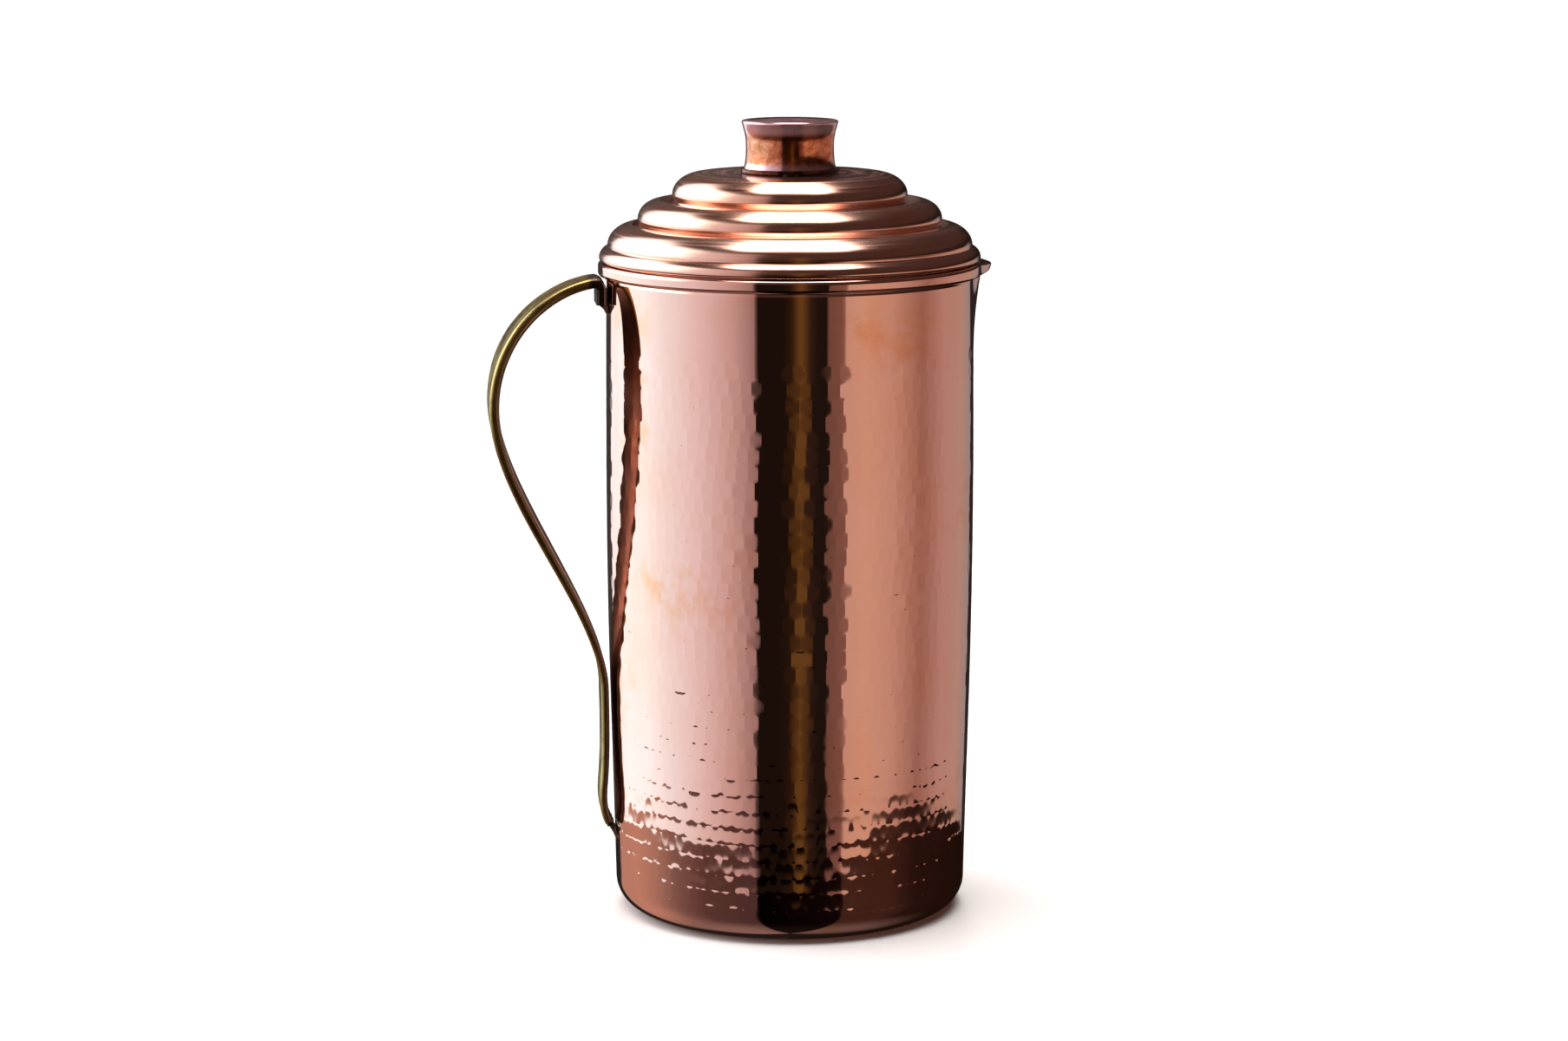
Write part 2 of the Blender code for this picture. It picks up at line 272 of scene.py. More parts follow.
def eased(stops, at):
    """Values between (place, value) stops, with smooth runs."""
    places, values = np.array(stops, float).T
    at = np.asarray(at, float)
    i = np.clip(np.searchsorted(places, at) - 1, 0, len(places) - 2)
    share = np.clip((at - places[i]) / (places[i + 1] - places[i]), 0, 1)
    share = share * share * (3 - 2 * share)
    return values[i] + (values[i + 1] - values[i]) * share


def smooth_curve(stops, at):
    """Values on a smooth curve through (place, value) stops."""
    places, values = np.array(stops, float).T
    slopes = np.gradient(values, places)
    at = np.asarray(at, float)
    i = np.clip(np.searchsorted(places, at) - 1, 0, len(places) - 2)
    width = places[i + 1] - places[i]
    t = np.clip((at - places[i]) / width, 0, 1)
    return (values[i] * (1 + 2 * t) * (1 - t) ** 2 + slopes[i] * width * t * (1 - t) ** 2
            + values[i + 1] * t * t * (3 - 2 * t) + slopes[i + 1] * width * t * t * (t - 1))


# ---------------------------------------------------------------- vessel


def lip_push(angle, z):
    """How far the pouring lip pulls the wall outwards."""
    turn = np.clip(np.abs((angle + math.pi) % TURN - math.pi) / LIP_HALF_ANGLE, 0, 1)
    drop = np.clip((MOUTH - SHEET - z) / LIP_DROP, 0, 1)
    return LIP_REACH * 0.5 * (1 + np.cos(math.pi * turn)) * (1 - drop) ** 1.6


def squared(share):
    """A sine or cosine, changed so that a circle becomes a rounded square."""
    return math.copysign(abs(share) ** 0.5, share)


def hammer_marks():
    """Start of each row; angle, depth and tilts of each mark, row by row; swing of each row."""
    chance = np.random.default_rng(11)
    shape = (MARK_ROWS, MARK_COLUMNS)
    start = chance.uniform(0, 1, (MARK_ROWS, 1))
    drift = chance.normal(0, MARK_DRIFT, shape)
    angle = (np.arange(MARK_COLUMNS) + start + drift) * TURN / MARK_COLUMNS
    depth = MARK_DEPTH + chance.normal(0, DEPTH_SPREAD, shape)
    rare = chance.uniform(0, 1, shape) < RARE_SHARE
    tilt_across = chance.normal(0, TILTS[0], shape)
    tilt_across += np.where(rare, chance.normal(0, RARE_TILT, shape), 0)
    tilt_along = chance.normal(0, TILTS[1], shape)
    swing = chance.uniform(0, TURN, (MARK_ROWS, len(ROW_LEANS)))
    missing = chance.uniform(0, 1, MARK_COLUMNS) < MISSING_SHARE
    depth[-1] = np.where(missing, -1.0, depth[-1])
    return start[:, 0], angle, depth, tilt_across, tilt_along, swing


def hammered(angle, place):
    """Radial offset that the hammer leaves, at arrays of angles and places among the rows.

    Each row is a ring of slight hollows, and the deepest one wins where they meet. Rows meet at one
    level. Marks of the last row are round at the top and some are missing.
    """
    start, mark_angle, depth, tilt_across, tilt_along, swing = hammer_marks()
    z = MARKS_LOW + place * MARK_PITCH
    facet = np.interp(z, FACET_HEIGHTS, FACET)
    across, along = 0.5 * facet / WALL_WIDEST, 0.5 / HOLLOW_ALONG
    row = np.clip(np.round(place).astype(int), 0, MARK_ROWS - 1)
    last = row == MARK_ROWS - 1
    v = (place - row) * MARK_PITCH
    surface = np.full(angle.shape, 0.5 * MARK_DEPTH)
    nearest = np.round(angle / TURN * MARK_COLUMNS - start[row]).astype(int)
    top = np.where(last, across * np.maximum(v, 0) ** 2, 0)
    for step in (-1, 0, 1):
        column = (nearest + step) % MARK_COLUMNS
        u = ((angle - mark_angle[row, column] + math.pi) % TURN - math.pi) * WALL_WIDEST
        dent = (0.5 * MARK_DEPTH - depth[row, column] + across * u * u + along * v * v + top
                + tilt_across[row, column] * facet * u + tilt_along[row, column] * v)
        surface = np.where(depth[row, column] > 0, np.minimum(surface, dent), surface)
    lean = sum(np.sin(turns * angle + swing[row, i]) for i, turns in enumerate(ROW_LEANS))
    surface = surface + ROW_TILT * lean * v * ~last
    level = -0.5 * MARK_DEPTH + across * (TURN * WALL_WIDEST / MARK_COLUMNS) ** 2 / 12
    meet = np.abs(2 * v / MARK_PITCH) ** 4 * (~last | (v < 0))
    surface = surface + (level - surface) * meet
    swell = 0.02 * np.sin(2 * angle + z / 31) * np.sin(z / 17 + 1) + 0.012 * np.sin(7 * angle - z / 13)
    marks_start = BASE_CORNER - 2.5
    fade = eased(((marks_start, 0), (marks_start + MARKS_FADE, 1)), z)
    slow = eased(((marks_start, 0), (marks_start + LEVEL_FADE, 1)), z)
    return (surface - level + swell) * fade + level * slow


def wall_outline():
    """The wall's face, and the whole closed outline that starts with it."""
    first, last = ((z - MARKS_LOW) / MARK_PITCH for z in (SEAM, MARKS_HIGH))
    rows = [n + step for n in range(MARK_ROWS) for step in ROW_STEPS]
    places = [first, *(q for q in rows if q > first + 0.02)]
    places += list(np.arange(places[-1] + 0.08, last, 0.1))
    heights = np.concatenate([MARKS_LOW + MARK_PITCH * np.array(places), np.arange(*SMOOTH_BAND)])
    face = [(float(smooth_curve(WALL_FACE, z)), z) for z in heights]
    x, z = RIM_OUT - ROLL, MOUTH - ROLL
    inner_roll = arc((x, z), ROLL - SHEET, 180, -90, 14)
    lip_edge = arc((x - 0.22, z - ROLL + SHEET / 2), SHEET / 2, 90, 270, 6)
    outer_roll = [(x + ROLL * squared(math.cos(a)), z + ROLL * squared(math.sin(a)))
                  for a in np.radians(np.linspace(-90, 180, 55))]
    inside = [(r - SHEET, z) for r, z in face if z > SEAM + 8][::-4]
    foot = [(face[0][0] - SHEET, SEAM)]
    return face, face + inner_roll + lip_edge[1:-1] + outer_roll + inside + foot


def vessel_wall(copper):
    face, outline = wall_outline()
    count = len(face)
    radius, angle, z = swept(outline, COLUMNS)
    place = (z - MARKS_LOW) / MARK_PITCH
    wander = 0.3 * np.sin(2 * angle + 1.0) + 0.25 * np.sin(5 * angle + 0.35 * place)
    held = np.clip((z - SEAM) / 9, 0, 1) * np.clip((MARKS_HIGH + 3 - z) / 7, 0, 1)
    z[:count] += (wander * held)[:count]
    radius[:count] = smooth_curve(WALL_FACE, z[:count])
    push = lip_push(angle, z)
    radius = radius + push
    flatter = 1 - LIP_FLATTER * push / LIP_REACH
    z = np.where(z > MOUTH - 2 * ROLL, MOUTH - ROLL + (z - MOUTH + ROLL) * flatter, z)
    radius[:count] += hammered(angle[:count], place[:count])
    points = polar(radius, angle, z).reshape(-1, 3)
    faces = grid_faces(len(outline), COLUMNS, True)
    piece = piece_from("hammered_wall", points, faces, copper, "pitcher",
                       ["vessel_wall"])
    crisp_creases(piece.data, count * COLUMNS)


def crisp_creases(mesh, count):
    """Hammer creases stay crisp among the first vertices of a mesh, which are the hammered face."""
    ends = np.empty(2 * len(mesh.edges), int)
    mesh.edges.foreach_get("vertices", ends)
    among = ends.reshape(-1, 2).max(axis=1) < count
    usual, creases = np.empty(len(mesh.edges), bool), np.empty(len(mesh.edges), bool)
    mesh.attributes["sharp_edge"].data.foreach_get("value", usual)
    mesh.set_sharp_from_angle(angle=CREASE)
    sharp = mesh.attributes["sharp_edge"].data
    sharp.foreach_get("value", creases)
    sharp.foreach_set("value", np.where(among, creases, usual))


def base_dish(copper):
    radius = float(smooth_curve(WALL_FACE, SEAM))
    lean = (WALL_FACE[1][1] - WALL_FACE[0][1]) / (WALL_FACE[1][0] - WALL_FACE[0][0])
    tangent = math.degrees(math.atan(lean))
    height = BASE_CORNER * (1 - math.sin(math.radians(tangent)))
    radius -= lean * (SEAM - height)
    centre = (radius - BASE_CORNER * math.cos(math.radians(tangent)), BASE_CORNER)
    corner = arc(centre, BASE_CORNER, -90, -tangent, 18)
    side = [(radius + lean * (z - height), z)
            for z in np.linspace(height + 0.4, SEAM - SEAM_LINE, 3)]
    outer, top = DISH_HIGH[0] - SHEET - 0.5, DISH_HIGH[2]
    inner = outer - SHEET
    flange = [(outer, SEAM - SEAM_LINE), (outer, top), (inner, top), (inner, 9)]
    inside = arc((inner - DISH_CORNER, DISH_CORNER + SHEET), DISH_CORNER, 0, -90, 8)
    outline = [(0, 0), (8, 0), *spaced([(16, 0), (radius - BASE_CORNER - 0.4, 0)], 4)]
    outline += corner + side + flange + inside + [(20, SHEET), (0, SHEET)]
    rings, angle, z = swept(outline[1:-1], COLUMNS)
    marked = (rings > radius - 1.5) & (z > 4)
    rings += np.where(marked, hammered(angle, (z - MARKS_LOW) / MARK_PITCH), 0)
    capped("base", polar(rings, angle, z), on_axis(outline), copper, "pitcher",
           ["base_dish"])


# ---------------------------------------------------------------- handle


def bezier(a, b, c, d, count):
    """Points along a cubic curve, without its first."""
    t = np.linspace(0, 1, count + 1)[1:, None]
    a, b, c, d = (np.array(p, float) for p in (a, b, c, d))
    return a * (1 - t) ** 3 + 3 * b * t * (1 - t) ** 2 + 3 * c * t * t * (1 - t) + d * t ** 3


def handle_line():
    """The strap's middle line, from its foot up, over and down."""
    x, z = FOOT_BOTTOM
    bend = (x + FOOT_BEND, HANDLE_CURVES[0][0][1] - FOOT_BEND)
    line = [np.array([FOOT_BOTTOM]), np.array(arc(bend, FOOT_BEND, 180, 97, 10))]
    for start, leave, arrive, end in HANDLE_CURVES:
        count = max(8, round(math.dist(start, end) / HANDLE_STEP))
        line.append(bezier(start, leave, arrive, end, count))
    return np.vstack(line)


def strap_section(width, thickness):
    """Points of the strap's section, (across, outwards), with rounded long edges."""
    edge = min(STRAP_EDGE, thickness / 2 - 0.05)
    w, t = width / 2 - edge, thickness / 2 - edge
    corners = ((w, t, 90, 0), (w, -t, 0, -90), (-w, -t, -90, -180), (-w, t, 180, 90))
    return np.array([point for x, y, start, stop in corners
                     for point in arc((x, y), edge, start, stop, 5)])


def handle_strap(brass, shaded):
    """The strap; its faces towards the jug get a darker copy of the brass, painted shade."""
    line = handle_line()
    lengths = np.concatenate([[0], np.cumsum(np.linalg.norm(np.diff(line, axis=0), axis=1))])
    runs = np.gradient(line, lengths, axis=0)
    runs /= np.linalg.norm(runs, axis=1)[:, None]
    done = lengths / lengths[-1]
    widths, thicknesses = eased(HANDLE_WIDTHS, done), eased(HANDLE_THICKNESS, done)
    rings = []
    for point, run, width, thickness in zip(line, runs, widths, thicknesses):
        section = strap_section(width, thickness)
        outwards = np.array([-run[1], run[0]])
        place = point + section[:, 1:] * outwards
        rings.append(np.stack([-place[:, 0], section[:, 0], place[:, 1]], axis=1))
    for shrink in END_SHRINKS:
        first, last = (ring.mean(axis=0) * (1 - shrink) + ring * shrink for ring in (rings[0], rings[-1]))
        rings = [first, *rings[:-1], last, rings[-1]]
    ends = (rings[0].mean(axis=0), rings[-1].mean(axis=0))
    piece = capped("handle", np.array(rings), ends, brass, "pitcher", ["handle_strap"],
                   sharp=50)
    faces = piece.data.polygons
    normals, centres = np.empty(3 * len(faces)), np.empty(3 * len(faces))
    faces.foreach_get("normal", normals)
    faces.foreach_get("center", centres)
    inwards = normals[::3] * np.sign(-centres[::3]) > FACES_JUG
    piece.data.materials.append(shaded)
    faces.foreach_set("material_index", inwards.astype(np.int32))


# ---------------------------------------------------------------- lid and knob


def spin_lines(path, depth, seed):
    """The path with the fine ridges that the spinning tool leaves."""
    chance = np.random.default_rng(seed)
    normals = shifted(path, 1.0) - np.asarray(path, float)
    ridges = chance.normal(0, 1, len(path))
    ridges = np.convolve(ridges, [0.25, 0.5, 0.25], mode="same")
    ridges[:2] = ridges[-2:] = 0
    return np.asarray(path, float) + normals * (ridges * depth)[:, None]


def lid_face():
    """The lid's upper face, over the tiers to the hem."""
    seat = MOUTH
    path = [(LID_BORE, seat + LID_TIERS[0][2]), (LID_TIERS[0][0] - 10, seat + LID_TIERS[0][2])]
    for i, (crown, nose, top, side) in enumerate(LID_TIERS):
        turns = np.radians(np.linspace(90, 0, 22))
        path += [(crown + math.cos(t) * (nose - crown), seat + side + math.sin(t) * (top - side))
                 for t in turns]
        if i < len(LID_VALLEYS):
            radius, height = LID_VALLEYS[i]
            path += arc((radius + VALLEY_ROUND, seat + height + 0.35), VALLEY_ROUND, 180, 290, 5)
    return spaced(path, SPIN_STEP)


def lid_dome(copper):
    seat = MOUTH
    low = LID_LOW[2]
    face = lid_face()
    face.append((LID_TIERS[2][1] - 0.02, seat + LID_EDGE[3] - 0.05))
    path = spin_lines(face, SPIN_DEPTHS["lid"], 5)
    crown, nose, side, top = LID_EDGE
    roll = [(crown + (nose - crown) * math.cos(t), seat + side + (top - side) * math.sin(t))
            for t in np.radians(np.linspace(70, 0, 16))]
    corner = seat + side - low
    roll += [*arc((nose - corner, seat + side), corner, -15, -90, 6),
             *arc((nose - HEM_FLAT, seat + side), corner, -90, -160, 6)]
    upper = np.vstack([path, roll])
    under = shifted(upper[::2], -LID_SHEET)[::-1]
    outline = np.vstack([upper, under])[::-1]
    turned("lid_shell", outline, 300, copper, "lid", ["lid_dome"])


def lid_collar(copper):
    radius, low, high = COLLAR_HIGH[0], COLLAR_LOW[2], COLLAR_HIGH[2]
    inwards, taper = COLLAR_TAPER
    face = [(radius - inwards, low), (radius, low + taper), (radius, high)]
    inner = [(r - LID_SHEET, z) for r, z in reversed(face)]
    turned("collar", face + inner, 240, copper, "lid", ["lid_collar"])


def knob_shell(copper):
    bottom, top = KNOB_LOW[2], KNOB_HIGH[2]
    heights = np.linspace(0, KNOB_LIP_AT, 40)
    face = [(float(smooth_curve(KNOB_SIDE, h)), bottom + h) for h in heights]
    lip_radius = top - bottom - KNOB_LIP_AT
    lip = arc((face[-1][0] - lip_radius, bottom + KNOB_LIP_AT), lip_radius, 8, 90, 8)
    path = spin_lines(face, SPIN_DEPTHS["knob"], 8)
    upper = np.vstack([path, lip, [[KNOB_LIP_IN, top]]])
    under = shifted(upper[::3], KNOB_SHEET)[::-1]
    outline = np.vstack([upper, under])
    turned("knob", outline, 160, copper, "lid", ["knob_shell"])


def knob_cap(copper):
    radius, low, top = CAP_HIGH[0], CAP_LOW[2], CAP_HIGH[2]
    edge = radius + CAP_SNUG
    outline = [(0, low), (radius - 0.2, low), (edge, low + 0.2), (edge, top - 0.15), (radius, top)]
    outline += [(r, top - CAP_DISH * (1 - (r / radius) ** 2)) for r in (9, 6, 3, 0)]
    grid = polar(*swept(outline[1:-1], 120))
    capped("knob_top", grid, on_axis(outline), copper, "lid", ["knob_cap"])


# ---------------------------------------------------------------- materials


class Graph:
    """Short calls for the shader nodes that the materials and the studio are made of."""

    def __init__(self, tree):
        self.new = tree.nodes.new
        self.link = tree.links.new

    def fill(self, node, values):
        for socket, value in values:
            if isinstance(value, (int, float)):
                node.inputs[socket].default_value = value
            elif isinstance(value, tuple):
                wide = len(node.inputs[socket].default_value) == 4
                node.inputs[socket].default_value = (*value, 1) if wide else value
            else:
                self.link(value, node.inputs[socket])
        return node

    def math(self, operation, *values):
        node = self.new("ShaderNodeMath")
        node.operation = operation
        return self.fill(node, enumerate(values)).outputs[0]

    def vector(self, operation, *values):
        node = self.new("ShaderNodeVectorMath")
        node.operation = operation
        return self.fill(node, enumerate(values)).outputs[0]

    def split(self, vector):
        """The three parts of a vector."""
        return self.fill(self.new("ShaderNodeSeparateXYZ"), [(0, vector)]).outputs

    def spread(self, value):
        """One value as all three parts of a vector."""
        node = self.new("ShaderNodeCombineXYZ")
        return self.fill(node, [(i, value) for i in range(3)]).outputs[0]

    def step(self, value, low, high):
        """0 below low, 1 above high."""
        node = self.new("ShaderNodeMapRange")
        node.interpolation_type = "SMOOTHSTEP"
        return self.fill(node, [("Value", value), ("From Min", low), ("From Max", high)]).outputs[0]

    def band(self, value, low, low_edge, high, high_edge):
        """1 between low and high, with edges of their own softness."""
        rise = self.step(value, low - low_edge, low + low_edge)
        return self.math("SUBTRACT", rise, self.step(value, high - high_edge, high + high_edge))

    def ramp(self, value, *stops):
        """Values or colours between (place, value) stops."""
        node = self.new("ShaderNodeValToRGB")
        elements = node.color_ramp.elements
        while len(elements) < len(stops):
            elements.new(0.5)
        for element, (place, colour) in zip(elements, stops):
            element.position = place
            shade = colour if isinstance(colour, tuple) else (colour,) * 3
            element.color = (*shade, 1)
        self.link(value, node.inputs["Fac"])
        return node.outputs["Color"]

    def mix(self, share, first, second):
        node = self.new("ShaderNodeMix")
        node.data_type = "RGBA"
        return self.fill(node, [(0, share), (6, first), (7, second)]).outputs[2]

    def noise(self, place, scale, detail=4, roughness=0.5, distortion=0.0):
        node = self.new("ShaderNodeTexNoise")
        values = (("Vector", place), ("Scale", scale), ("Detail", detail),
                  ("Roughness", roughness), ("Distortion", distortion))
        return self.fill(node, values).outputs["Fac"]


class Metal(Graph):
    """A metallic Principled material."""

    def __init__(self, name, colour, roughness, anisotropic=0.0):
        self.material = bpy.data.materials.new(name)
        self.material.use_nodes = True
        super().__init__(self.material.node_tree)
        self.shader = self.material.node_tree.nodes["Principled BSDF"]
        self.fill(self.shader, (("Base Color", colour), ("Metallic", 1.0), ("Roughness", roughness),
                                ("Anisotropic", anisotropic)))
        self.place = self.new("ShaderNodeTexCoord").outputs["Object"]

    def stretched(self, *scale):
        return self.vector("MULTIPLY", self.place, scale)

    def bump(self, height, distance, strength=1.0):
        node = self.new("ShaderNodeBump")
        self.fill(node, (("Height", height), ("Distance", distance), ("Strength", strength)))
        self.link(node.outputs["Normal"], self.shader.inputs["Normal"])

    def colour(self, value):
        self.link(value, self.shader.inputs["Base Color"])

    def roughness(self, value):
        self.link(value, self.shader.inputs["Roughness"])


def hammered_copper():
    s = Metal("hammered_copper", (0.92, 0.52, 0.42), 0.07)
    cloud = s.ramp(s.noise(s.place, 30, 5, 0.6, 0.4), (0.42, 0.0), (0.7, 1.0))
    tint = s.mix(cloud, (0.925, 0.535, 0.44), (0.92, 0.49, 0.37))
    patches = s.ramp(s.noise(s.place, 19, 3, 0.55), (0.56, 0.0), (0.66, 1.0))
    stain = s.ramp(s.noise(s.place, 140, 4, 0.65), (0.40, 0.0), (0.62, 0.8))
    tint = s.mix(s.math("MULTIPLY", patches, stain), tint, (0.88, 0.40, 0.22))
    specks = s.ramp(s.noise(s.place, 900, 2, 0.5), (0.755, 0.0), (0.79, 0.8))
    s.colour(s.mix(specks, tint, (0.28, 0.11, 0.06)))
    s.roughness(s.ramp(s.noise(s.place, 70, 5, 0.6), (0.3, 0.015), (0.75, 0.04)))
    s.bump(s.noise(s.stretched(2600, 2600, 420), 1, 3, 0.6), 0.0000008, 0.5)
    return s.material


def turning_lines(s, scale):
    """A place that changes along the radius and the axis, and hardly around it."""
    flat = s.vector("MULTIPLY", s.place, (1.0, 1.0, 0.0))
    node = s.new("ShaderNodeVectorMath")
    node.operation = "LENGTH"
    s.link(flat, node.inputs[0])
    split = s.split(s.place)
    joined = s.new("ShaderNodeCombineXYZ")
    s.fill(joined, ((0, node.outputs["Value"]), (1, split[2])))
    drift = s.vector("MULTIPLY", s.place, (0.004, 0.004, 0.0))
    return s.vector("MULTIPLY", s.vector("ADD", joined.outputs[0], drift), (scale, scale, scale))


def spun_copper():
    s = Metal("spun_copper", (0.92, 0.52, 0.42), 0.14, anisotropic=0.35)
    lines = s.noise(turning_lines(s, 2600.0), 1, 3, 0.65)
    cloud = s.ramp(s.noise(s.place, 45, 5, 0.6), (0.4, 0.0), (0.7, 1.0))
    tint = s.mix(cloud, (0.93, 0.55, 0.44), (0.89, 0.46, 0.32))
    s.colour(s.mix(s.ramp(lines, (0.35, 0.0), (0.75, 0.35)), tint, (0.66, 0.30, 0.20)))
    s.roughness(s.ramp(s.noise(turning_lines(s, 900.0), 1, 4, 0.6), (0.3, 0.09), (0.75, 0.24)))
    s.bump(lines, 0.00002, 0.6)
    tangent = s.new("ShaderNodeTangent")
    tangent.direction_type = "RADIAL"
    tangent.axis = "Z"
    s.link(tangent.outputs["Tangent"], s.shader.inputs["Tangent"])
    return s.material


def tarnished_copper():
    s = Metal("tarnished_copper", (0.86, 0.42, 0.26), 0.2)
    mottle = s.noise(s.place, 330, 6, 0.68, 0.5)
    dull = s.ramp(mottle, (0.36, (0.86, 0.37, 0.22)), (0.5, (0.72, 0.23, 0.11)),
                  (0.64, (0.44, 0.12, 0.05)))
    split = s.split(s.place)
    edge = s.math("ADD", split[2], s.math("MULTIPLY", mottle, 0.0016))
    # Painted sheen: a band under the top and one at the foot get a lighter pink-lilac and less metal,
    # standing in for the box light on the knob.
    rim = (KNOB_HIGH[2] - KNOB_SHEEN_BAND) * MM
    painted_sheen_top = s.step(edge, rim - 0.0003, rim + 0.0014)
    foot_low, foot_high = ((KNOB_LOW[2] + height) * MM for height in KNOB_FOOT_SHEEN)
    foot = s.band(edge, foot_low, 0.0003, foot_high, 0.0008)
    painted_sheen = s.math("MAXIMUM", painted_sheen_top, foot)
    s.link(s.math("MULTIPLY_ADD", painted_sheen_top, -0.12, 1.0), s.shader.inputs["Metallic"])
    tint = s.mix(painted_sheen, dull, s.mix(mottle, (0.92, 0.58, 0.58), (0.72, 0.38, 0.40)))
    # Painted shade: below the knob's lower edge, the foot plate under it turns near black-brown.
    under = s.step(split[2], (KNOB_LOW[2] - 0.25) * MM, (KNOB_LOW[2] + 0.05) * MM)
    s.colour(s.mix(under, (0.11, 0.04, 0.022), tint))
    s.roughness(s.ramp(s.noise(s.place, 300, 4, 0.6), (0.3, 0.11), (0.7, 0.22)))
    s.bump(s.noise(turning_lines(s, 3000.0), 1, 2, 0.6), 0.000006, 0.4)
    return s.material


def aged_brass():
    s = Metal("aged_brass", (0.5, 0.35, 0.13), 0.3)
    cloud = s.noise(s.place, 60, 6, 0.65, 0.5)
    cloud = s.ramp(cloud, (0.35, (0.40, 0.27, 0.085)), (0.7, (0.56, 0.40, 0.15)))
    grime = s.ramp(s.noise(s.place, 420, 5, 0.7), (0.5, 0.0), (0.68, 0.6))
    tint = s.mix(grime, cloud, (0.20, 0.125, 0.05))
    split = s.split(s.place)
    # Painted shade: the strap's upper foot against the wall, under the rim, turns dark brown.
    foot = s.math("MULTIPLY", s.step(split[2], *FOOT_SHADE_UP), s.step(split[0], *FOOT_SHADE_IN))
    s.colour(s.mix(foot, tint, (0.09, 0.055, 0.03)))
    s.roughness(s.ramp(s.noise(s.place, 130, 4, 0.6), (0.3, 0.2), (0.7, 0.36)))
    s.bump(s.noise(s.stretched(500, 90, 90), 1, 3, 0.6), 0.00002, 0.4)
    return s.material


def plain_metal(name, colour, roughness):
    s = Metal(name, colour, roughness)
    dull = tuple(0.72 * part for part in colour)
    s.colour(s.mix(s.noise(s.place, 220, 5, 0.6), colour, dull))
    s.roughness(s.ramp(s.noise(s.place, 400, 4, 0.6), (0.3, roughness * 0.8), (0.7, roughness * 1.4)))
    return s.material


# ---------------------------------------------------------------- studio


WORLD_STRENGTH = 2.0
DARKEST = (0.0005, 0.0003, 0.0003)
BACK_HIGHER = 1.5  # degrees by which the bands lie higher at the back and lower at the front

# The panel overhead, on a level plane one unit up: (low edge, its softness, high edge, its
# softness) across and away from the camera. It narrows away from the camera.
OVERHEAD = (3.0, 3.0, 3.0)
OVERHEAD_ACROSS = (-0.36, 0.10, 0.42, 0.12)
OVERHEAD_AWAY = (-0.47, 0.10, 2.0, 0.5)
OVERHEAD_NARROWS = -1.4
NARROWS_FROM = -0.1

# Each band: (low edge, its softness, high edge, its softness), then colours by azimuth, as shares
# of the world's strength.
SOFT_BANDS = (
    ((-16.2, 0.04, 46, 8),
     (-152, (0.02, 0.02, 0.02)), (-149.5, (0.55, 0.66, 0.74)), (-128, (0.64, 0.84, 0.94)),
     (-104, (0.62, 0.82, 0.93)), (-88, (0.50, 0.66, 0.75)), (-60, (0.415, 0.44, 0.49)),
     (-36, (0.295, 0.255, 0.265)), (-22.5, (0.175, 0.14, 0.145)), (-20.5, (0.0015, 0.0008, 0.0006))),
    ((4, 8, 44, 8),
     (-146, (0.0, 0.0, 0.0)), (-132, (1.5, 1.5, 1.5)), (-92, (1.4, 1.4, 1.4)),
     (-62, (0.0, 0.0, 0.0))),
    ((8, 10, 100, 5),
     (-180, (0.045, 0.028, 0.024)), (0, (0.032, 0.02, 0.017)), (180, (0.026, 0.015, 0.013))),
    ((-16.2, 0.04, 28, 6),
     (-4, (0.0, 0.0, 0.0)), (1, (0.008, 0.004, 0.001)), (3.5, (0.034, 0.019, 0.004)),
     (6.5, (0.065, 0.040, 0.009)), (9.5, (0.036, 0.021, 0.005)), (12.5, (0.010, 0.006, 0.004)),
     (17, (0.001, 0.001, 0.001))),
    ((-16.2, 0.04, 0.5, 1.2),
     (22.8, (0.004, 0.003, 0.002)), (23.8, (0.08, 0.05, 0.04)), (33.6, (0.11, 0.065, 0.055)),
     (34.8, (0.30, 0.23, 0.195)), (48, (0.325, 0.245, 0.193)), (66, (0.285, 0.21, 0.18)),
     (90, (0.168, 0.105, 0.087)), (112, (0.24, 0.178, 0.165)), (135, (0.235, 0.19, 0.165)),
     (154, (0.16, 0.155, 0.17)), (156, (0.01, 0.008, 0.008))),
    ((-50, 14, -16.2, 0.04),
     (-152, (0.01, 0.01, 0.01)), (-149, (0.25, 0.15, 0.12)), (-120, (0.275, 0.175, 0.135)),
     (-100, (0.21, 0.14, 0.115)), (-80, (0.108, 0.074, 0.072)), (-58, (0.052, 0.032, 0.030)),
     (-22.5, (0.036, 0.022, 0.023)), (-20.5, (0.0, 0.0, 0.0)), (33.6, (0.002, 0.001, 0.001)),
     (34.8, (0.027, 0.014, 0.010)), (68, (0.025, 0.013, 0.010)), (90, (0.010, 0.005, 0.004)),
     (156, (0.006, 0.003, 0.002))),
    ((-120, 5, -52, 16),
     (-150, (0.01, 0.007, 0.006)), (-130, (0.13, 0.10, 0.09)), (-58, (0.12, 0.09, 0.085)),
     (-22.5, (0.09, 0.068, 0.064)), (-20.5, (0.004, 0.003, 0.002)), (33.6, (0.004, 0.003, 0.002)),
     (34.8, (0.08, 0.06, 0.05)), (90, (0.08, 0.06, 0.055)), (130, (0.05, 0.04, 0.035)),
     (150, (0.008, 0.006, 0.005))),
)


